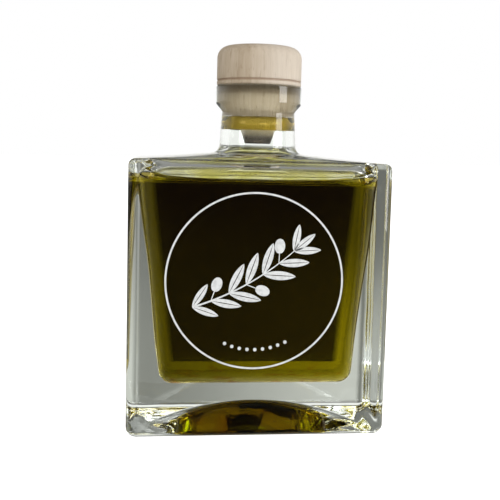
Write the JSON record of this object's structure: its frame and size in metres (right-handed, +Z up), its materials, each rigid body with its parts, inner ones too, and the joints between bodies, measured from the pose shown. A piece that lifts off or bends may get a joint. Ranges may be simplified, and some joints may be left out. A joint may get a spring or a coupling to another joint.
{
  "type": "bottle of olive oil",
  "caption": "Rectangular clear glass bottle of olive oil with a thick foot, a short round neck and a stopper with a turned wooden head. Stands upright.",
  "frame": {"origin": "middle of the foot, on the surface that the bottle stands on", "axes": "+Z up along the neck, +X to the right along the broad front face, which faces -Y"},
  "size_m": [0.086, 0.046, 0.1303],
  "materials": {
    "clear_glass": "clear polished glass with a faint green tint",
    "olive_oil": "clear dark olive liquid, yellow-olive where thin",
    "plug": "matt tan stopper shank, darker and wet at its tip",
    "wood": "bare turned beech, matt, with fine upright grain",
    "white_print": "thin white enamel print"
  },
  "bodies": {
    "root": {"bottle_glass": "clear_glass", "olive_oil": "olive_oil", "neck_oil_ring": "olive_oil", "stopper_plug": "plug", "stopper_head": "wood"}
  },
  "joints": []
}
